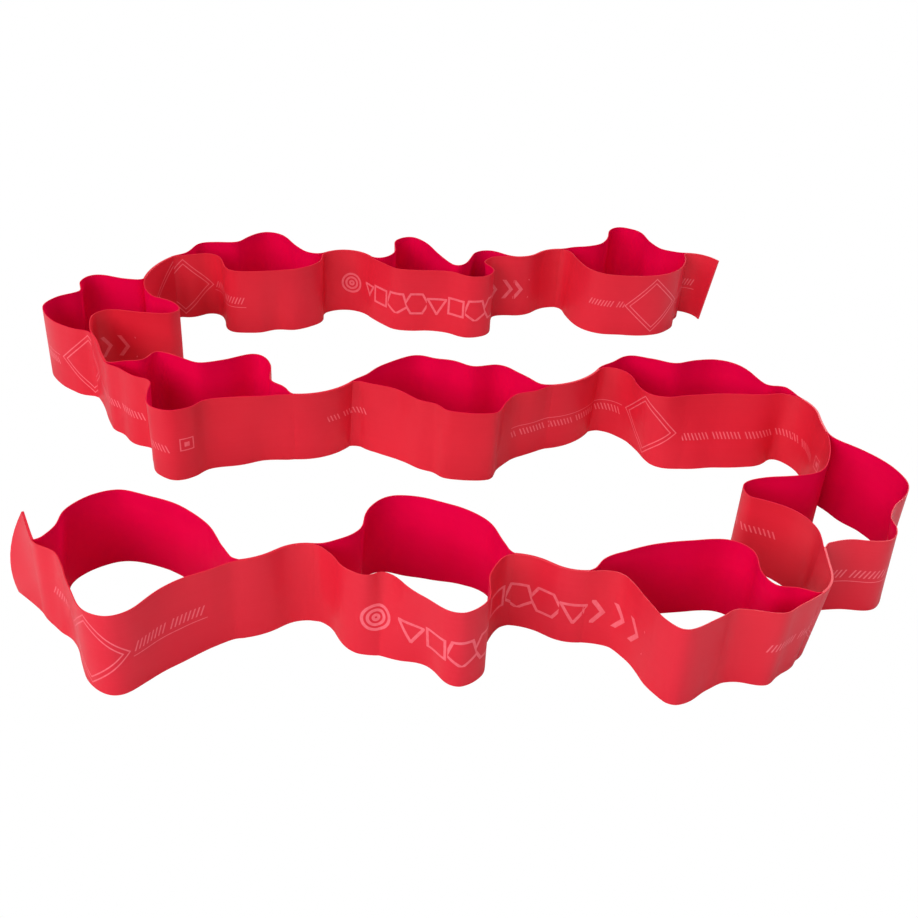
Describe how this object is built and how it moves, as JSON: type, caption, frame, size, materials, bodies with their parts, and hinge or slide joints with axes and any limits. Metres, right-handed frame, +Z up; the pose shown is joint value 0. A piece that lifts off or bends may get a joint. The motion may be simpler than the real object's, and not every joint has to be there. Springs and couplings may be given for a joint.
{
  "type": "looped resistance band",
  "caption": "Flat rubber resistance band made of open loops joined by fused bonds, standing on edge in an S-shaped row.",
  "frame": {"origin": "on the floor, under the middle of the standing band's plan", "axes": "+X along the rows towards the band's right-hand turn, +Y from the front row to the back row, +Z up across the band's width"},
  "size_m": [0.5536, 0.5054, 0.0508],
  "materials": {
    "rubber": "satin"
  },
  "bodies": {
    "loop_01": {"bond_01_on_loop_01": "rubber", "front_end_tab": "rubber", "loop_01_left_wall": "rubber", "loop_01_right_wall": "rubber"},
    "loop_02": {"bond_01_on_loop_02": "rubber", "bond_02_on_loop_02": "rubber", "loop_02_left_wall": "rubber", "loop_02_right_wall": "rubber"},
    "loop_03": {"bond_02_on_loop_03": "rubber", "bond_03_on_loop_03": "rubber", "loop_03_left_wall": "rubber", "loop_03_right_wall": "rubber"},
    "loop_04": {"bond_03_on_loop_04": "rubber", "bond_04_on_loop_04": "rubber", "loop_04_left_wall": "rubber", "loop_04_right_wall": "rubber"},
    "loop_05": {"bond_04_on_loop_05": "rubber", "bond_05_on_loop_05": "rubber", "loop_05_left_wall": "rubber", "loop_05_right_wall": "rubber"},
    "loop_06": {"bond_05_on_loop_06": "rubber", "bond_06_on_loop_06": "rubber", "loop_06_left_wall": "rubber", "loop_06_right_wall": "rubber"},
    "loop_07": {"bond_06_on_loop_07": "rubber", "bond_07_on_loop_07": "rubber", "loop_07_left_wall": "rubber", "loop_07_right_wall": "rubber"},
    "loop_08": {"bond_07_on_loop_08": "rubber", "bond_08_on_loop_08": "rubber", "loop_08_left_wall": "rubber", "loop_08_right_wall": "rubber"},
    "loop_09": {"bond_08_on_loop_09": "rubber", "bond_09_on_loop_09": "rubber", "loop_09_left_wall": "rubber", "loop_09_right_wall": "rubber"},
    "loop_10": {"bond_09_on_loop_10": "rubber", "bond_10_on_loop_10": "rubber", "loop_10_left_wall": "rubber", "loop_10_right_wall": "rubber"},
    "loop_11": {"bond_10_on_loop_11": "rubber", "loop_11_left_wall": "rubber", "loop_11_right_wall": "rubber", "rear_end_tab": "rubber"}
  },
  "joints": [
    {"name": "bond_01_fold", "type": "hinge", "parent": "loop_02", "child": "loop_01", "pos_m": [-0.07693, -0.19211, 0], "axis": [0, 0, 1], "range_deg": [-10, 50]},
    {"name": "bond_02_fold", "type": "hinge", "parent": "loop_03", "child": "loop_02", "pos_m": [0.06607, -0.18911, 0], "axis": [0, 0, 1], "range_deg": [-4, 50]},
    {"name": "bond_03_fold", "type": "hinge", "parent": "loop_04", "child": "loop_03", "pos_m": [0.21307, -0.18111, 0], "axis": [0, 0, 1], "range_deg": [-2, 50]},
    {"name": "bond_04_fold", "type": "hinge", "parent": "loop_05", "child": "loop_04", "pos_m": [0.23907, -0.02411, 0], "axis": [0, 0, 1], "range_deg": [-1, 45]},
    {"name": "bond_05_fold", "type": "hinge", "parent": "loop_06", "child": "loop_05", "pos_m": [0.09007, 0.00189, 0], "axis": [0, 0, 1], "range_deg": [-1, 30]},
    {"name": "bond_06_fold", "type": "hinge", "parent": "loop_06", "child": "loop_07", "pos_m": [-0.07093, -0.03211, 0], "axis": [0, 0, 1], "range_deg": [-1, 10]},
    {"name": "bond_07_fold", "type": "hinge", "parent": "loop_07", "child": "loop_08", "pos_m": [-0.22393, 0.00589, 0], "axis": [0, 0, 1], "range_deg": [-1, 30]},
    {"name": "bond_08_fold", "type": "hinge", "parent": "loop_08", "child": "loop_09", "pos_m": [-0.21693, 0.12789, 0], "axis": [0, 0, 1], "range_deg": [-2, 45]},
    {"name": "bond_09_fold", "type": "hinge", "parent": "loop_09", "child": "loop_10", "pos_m": [-0.07893, 0.17689, 0], "axis": [0, 0, 1], "range_deg": [-4, 50]},
    {"name": "bond_10_fold", "type": "hinge", "parent": "loop_10", "child": "loop_11", "pos_m": [0.06607, 0.19289, 0], "axis": [0, 0, 1], "range_deg": [-10, 50]}
  ]
}
